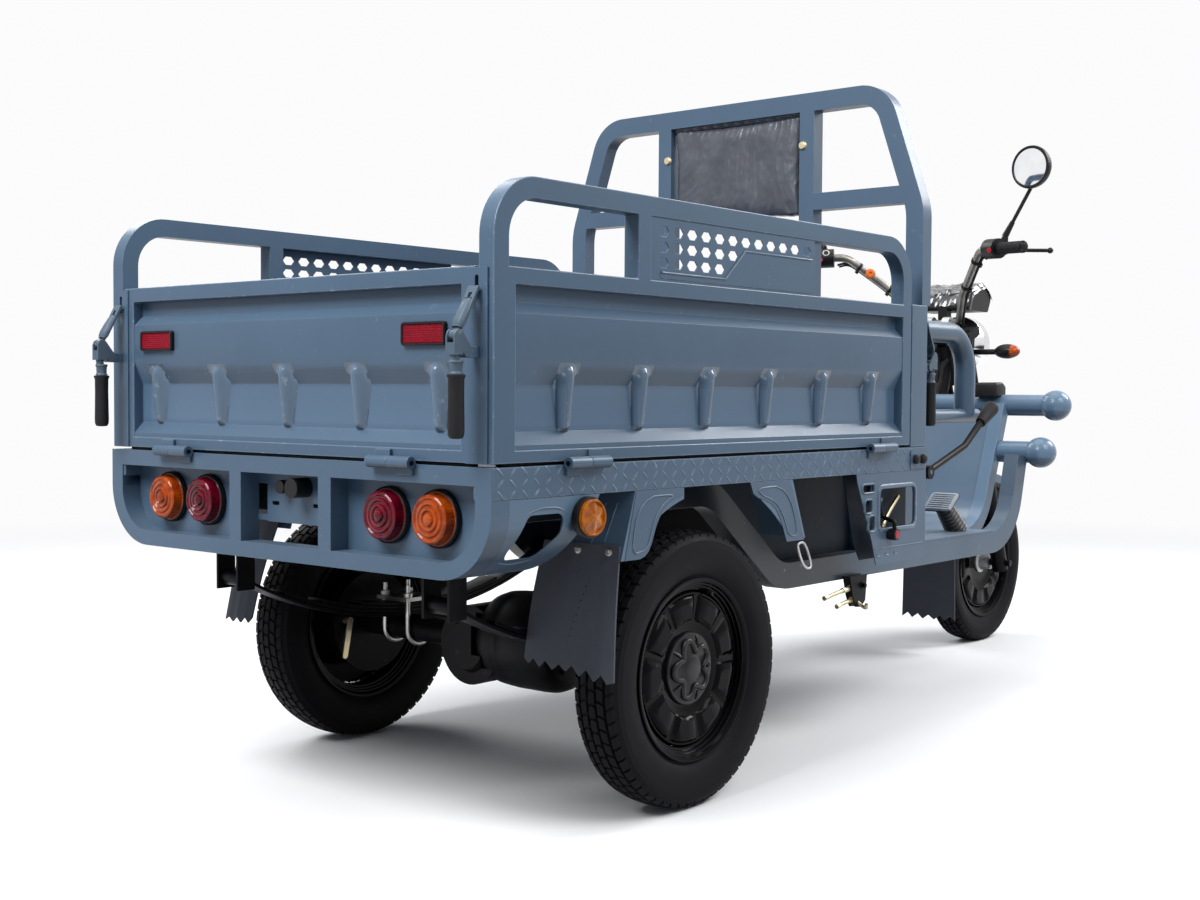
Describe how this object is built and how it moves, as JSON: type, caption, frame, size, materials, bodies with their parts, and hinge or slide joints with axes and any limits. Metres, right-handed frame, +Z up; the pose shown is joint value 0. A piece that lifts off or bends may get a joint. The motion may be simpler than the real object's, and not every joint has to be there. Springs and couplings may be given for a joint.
{
  "type": "cargo tricycle",
  "caption": "Electric cargo tricycle with a drop-side load box, hinged tailgate, headboard, bench seat, leg shield, tubular bumper and telescopic front fork.",
  "frame": {"origin": "on the ground under the middle of the vehicle's length and width", "axes": "+X forward, +Y to the rider's left, +Z up"},
  "size_m": [2.935, 1.048, 1.428],
  "materials": {
    "frame_paint": "gloss blue-grey paint",
    "gate_paint": "gloss blue-grey paint",
    "dark_steel": "satin dark paint",
    "bare_steel": "satin steel",
    "chrome": "polished",
    "zinc": "yellow zinc plating",
    "cast": "cast",
    "tyre": "matte black rubber",
    "rim": "gloss black",
    "rubber": "matte",
    "black_plastic": "satin",
    "red_lens": "clear gloss red",
    "amber_lens": "clear gloss amber",
    "red_plastic": "gloss",
    "vinyl": "black vinyl",
    "deck": "painted tread plate"
  },
  "bodies": {
    "chassis": {"main_frame": "frame_paint", "cargo_bed": "deck", "rear_lamp_frame": "frame_paint", "lamp_bases": "black_plastic", "red_lenses": "red_lens", "amber_lenses": "amber_lens", "mudguard_panels": "frame_paint", "mud_flaps": "rubber", "headboard": "frame_paint", "backrest_pad": "vinyl", "seat_frame": "frame_paint", "seat_cushion": "vinyl", "footboard": "deck", "front_bumper": "frame_paint", "leg_shield": "frame_paint", "head_bearings": "bare_steel", "battery_pack": "dark_steel", "pins_and_caps": "bare_steel", "pedal_boot": "rubber"},
    "rear_axle": {"axle_housing": "dark_steel", "drive_motor": "cast", "u_bolts": "zinc", "leaf_springs": "dark_steel"},
    "rear_wheel_right": {"tyre_rear_right": "tyre", "rim_rear_right": "rim"},
    "rear_wheel_left": {"tyre_rear_left": "tyre", "rim_rear_left": "rim"},
    "steering": {"fork_upper": "bare_steel", "handlebar": "chrome", "bar_controls": "black_plastic", "dashboard": "black_plastic", "headlamp": "chrome", "front_signals": "black_plastic"},
    "fork_slider": {"fork_legs": "dark_steel", "front_mudguard": "frame_paint"},
    "front_wheel": {"tyre_front": "tyre", "rim_front": "rim"},
    "throttle": {"throttle_grip": "rubber"},
    "brake_lever_right": {"brake_lever_right": "cast"},
    "brake_lever_left": {"brake_lever_left": "cast"},
    "mirror_right": {"mirror_right": "black_plastic"},
    "mirror_left": {"mirror_left": "black_plastic"},
    "horn_button": {"horn_button": "red_plastic"},
    "start_button": {"start_button": "red_plastic"},
    "tailgate": {"tailgate": "gate_paint", "tailgate_reflectors": "red_lens"},
    "side_gate_right": {"side_gate_right": "gate_paint"},
    "side_gate_left": {"side_gate_left": "gate_paint"},
    "parking_lever": {"parking_lever": "dark_steel"},
    "brake_pedal": {"brake_pedal": "dark_steel"},
    "gear_lever": {"gear_lever": "black_plastic"},
    "tail_latch_handle_right": {"tail_latch_handle_right": "gate_paint"},
    "tail_latch_hook_right": {"tail_latch_hook_right": "gate_paint"},
    "front_latch_handle_right": {"front_latch_handle_right": "gate_paint"},
    "front_latch_hook_right": {"front_latch_hook_right": "gate_paint"},
    "tail_latch_handle_left": {"tail_latch_handle_left": "gate_paint"},
    "tail_latch_hook_left": {"tail_latch_hook_left": "gate_paint"},
    "front_latch_handle_left": {"front_latch_handle_left": "gate_paint"},
    "front_latch_hook_left": {"front_latch_hook_left": "gate_paint"}
  },
  "joints": [
    {"name": "rear_suspension", "type": "slide", "parent": "chassis", "child": "rear_axle", "axis": [0, 0, 1], "range_m": [0, 0.05], "stiffness_N_per_m": 42000, "springref_m": -0.05, "deforming": ["leaf_springs"]},
    {"name": "rear_wheel_spin_right", "type": "hinge", "parent": "rear_axle", "child": "rear_wheel_right", "pos_m": [-0.8525, -0.436, 0.25], "axis": [0, 1, 0], "continuous": true},
    {"name": "rear_wheel_spin_left", "type": "hinge", "parent": "rear_axle", "child": "rear_wheel_left", "pos_m": [-0.8525, 0.436, 0.25], "axis": [0, 1, 0], "continuous": true},
    {"name": "steering_turn", "type": "hinge", "parent": "chassis", "child": "steering", "pos_m": [1.02229, 0, 0.80382], "axis": [-0.342, 0, 0.9397], "range_deg": [-35, 35]},
    {"name": "fork_travel", "type": "slide", "parent": "steering", "child": "fork_slider", "axis": [-0.342, 0, 0.9397], "range_m": [0, 0.06], "stiffness_N_per_m": 26000, "springref_m": -0.04},
    {"name": "front_wheel_spin", "type": "hinge", "parent": "fork_slider", "child": "front_wheel", "pos_m": [1.2275, 0, 0.24], "axis": [0, 1, 0], "continuous": true},
    {"name": "throttle_twist", "type": "hinge", "parent": "steering", "child": "throttle", "pos_m": [0.75669, -0.29528, 1.1354], "axis": [-0.4694, -0.8821, -0.0405], "range_deg": [0, 70], "stiffness_Nm_per_rad": 0.25, "springref_deg": -22.92},
    {"name": "brake_lever_pull_right", "type": "hinge", "parent": "steering", "child": "brake_lever_right", "pos_m": [0.80419, -0.28117, 1.13404], "axis": [0, 0, -1], "range_deg": [0, 15], "stiffness_Nm_per_rad": 1.5, "springref_deg": -11.46},
    {"name": "mirror_swivel_right", "type": "hinge", "parent": "steering", "child": "mirror_right", "pos_m": [0.79819, -0.28117, 1.17005], "axis": [0, 0, 1], "range_deg": [-40, 40]},
    {"name": "brake_lever_pull_left", "type": "hinge", "parent": "steering", "child": "brake_lever_left", "pos_m": [0.80419, 0.28117, 1.13404], "axis": [0, 0, 1], "range_deg": [0, 15], "stiffness_Nm_per_rad": 1.5, "springref_deg": -11.46},
    {"name": "mirror_swivel_left", "type": "hinge", "parent": "steering", "child": "mirror_left", "pos_m": [0.79819, 0.28117, 1.17005], "axis": [0, 0, 1], "range_deg": [-40, 40]},
    {"name": "horn_button_press", "type": "slide", "parent": "steering", "child": "horn_button", "axis": [1, 0, 0], "range_m": [0, 0.002], "stiffness_N_per_m": 400, "springref_m": -0.001},
    {"name": "start_button_press", "type": "slide", "parent": "steering", "child": "start_button", "axis": [1, 0, 0], "range_m": [0, 0.002], "stiffness_N_per_m": 400, "springref_m": -0.001},
    {"name": "tailgate_fold", "type": "hinge", "parent": "chassis", "child": "tailgate", "pos_m": [-1.4235, 0, 0.6345], "axis": [0, -1, 0], "range_deg": [0, 120]},
    {"name": "side_gate_fold_right", "type": "hinge", "parent": "chassis", "child": "side_gate_right", "pos_m": [-1.2005, -0.513, 0.6345], "axis": [1, 0, 0], "range_deg": [0, 150]},
    {"name": "side_gate_fold_left", "type": "hinge", "parent": "chassis", "child": "side_gate_left", "pos_m": [-1.2005, 0.513, 0.6345], "axis": [-1, 0, 0], "range_deg": [0, 150]},
    {"name": "tail_latch_handle_right_turn", "type": "hinge", "parent": "tailgate", "child": "tail_latch_handle_right", "pos_m": [-1.4385, -0.47, 0.805], "axis": [0, 1, 0], "range_deg": [0, 65]},
    {"name": "tail_latch_hook_right_turn", "type": "hinge", "parent": "tail_latch_handle_right", "child": "tail_latch_hook_right", "pos_m": [-1.4575, -0.47, 0.829], "axis": [0, 1, 0], "range_deg": [-121.4, 0]},
    {"name": "front_latch_handle_right_turn", "type": "hinge", "parent": "chassis", "child": "front_latch_handle_right", "pos_m": [-0.0245, -0.488, 0.805], "axis": [0, -1, 0], "range_deg": [0, 65]},
    {"name": "front_latch_hook_right_turn", "type": "hinge", "parent": "front_latch_handle_right", "child": "front_latch_hook_right", "pos_m": [-0.0055, -0.488, 0.829], "axis": [0, -1, 0], "range_deg": [-121.4, 0]},
    {"name": "tail_latch_handle_left_turn", "type": "hinge", "parent": "tailgate", "child": "tail_latch_handle_left", "pos_m": [-1.4385, 0.47, 0.805], "axis": [0, 1, 0], "range_deg": [0, 65]},
    {"name": "tail_latch_hook_left_turn", "type": "hinge", "parent": "tail_latch_handle_left", "child": "tail_latch_hook_left", "pos_m": [-1.4575, 0.47, 0.829], "axis": [0, 1, 0], "range_deg": [-121.4, 0]},
    {"name": "front_latch_handle_left_turn", "type": "hinge", "parent": "chassis", "child": "front_latch_handle_left", "pos_m": [-0.0245, 0.488, 0.805], "axis": [0, -1, 0], "range_deg": [0, 65]},
    {"name": "front_latch_hook_left_turn", "type": "hinge", "parent": "front_latch_handle_left", "child": "front_latch_hook_left", "pos_m": [-0.0055, 0.488, 0.829], "axis": [0, -1, 0], "range_deg": [-121.4, 0]},
    {"name": "parking_lever_pull", "type": "hinge", "parent": "chassis", "child": "parking_lever", "pos_m": [-0.0275, -0.494, 0.575], "axis": [0, -1, 0], "range_deg": [0, 30]},
    {"name": "brake_pedal_press", "type": "hinge", "parent": "chassis", "child": "brake_pedal", "pos_m": [0.5775, -0.292, 0.352], "axis": [0, -1, 0], "range_deg": [0, 12], "stiffness_Nm_per_rad": 25, "springref_deg": -11.46, "deforming": ["pedal_boot"]},
    {"name": "gear_lever_shift", "type": "hinge", "parent": "chassis", "child": "gear_lever", "pos_m": [-0.21661, -0.478, 0.524], "axis": [0, 1, 0], "range_deg": [-9, 9]}
  ],
  "couplings": [
    {"joint": "tail_latch_hook_right_turn", "follows": "tail_latch_handle_right_turn", "ratio": -1.86},
    {"joint": "front_latch_hook_right_turn", "follows": "front_latch_handle_right_turn", "ratio": -1.86},
    {"joint": "tail_latch_hook_left_turn", "follows": "tail_latch_handle_left_turn", "ratio": -1.86},
    {"joint": "front_latch_hook_left_turn", "follows": "front_latch_handle_left_turn", "ratio": -1.86}
  ]
}
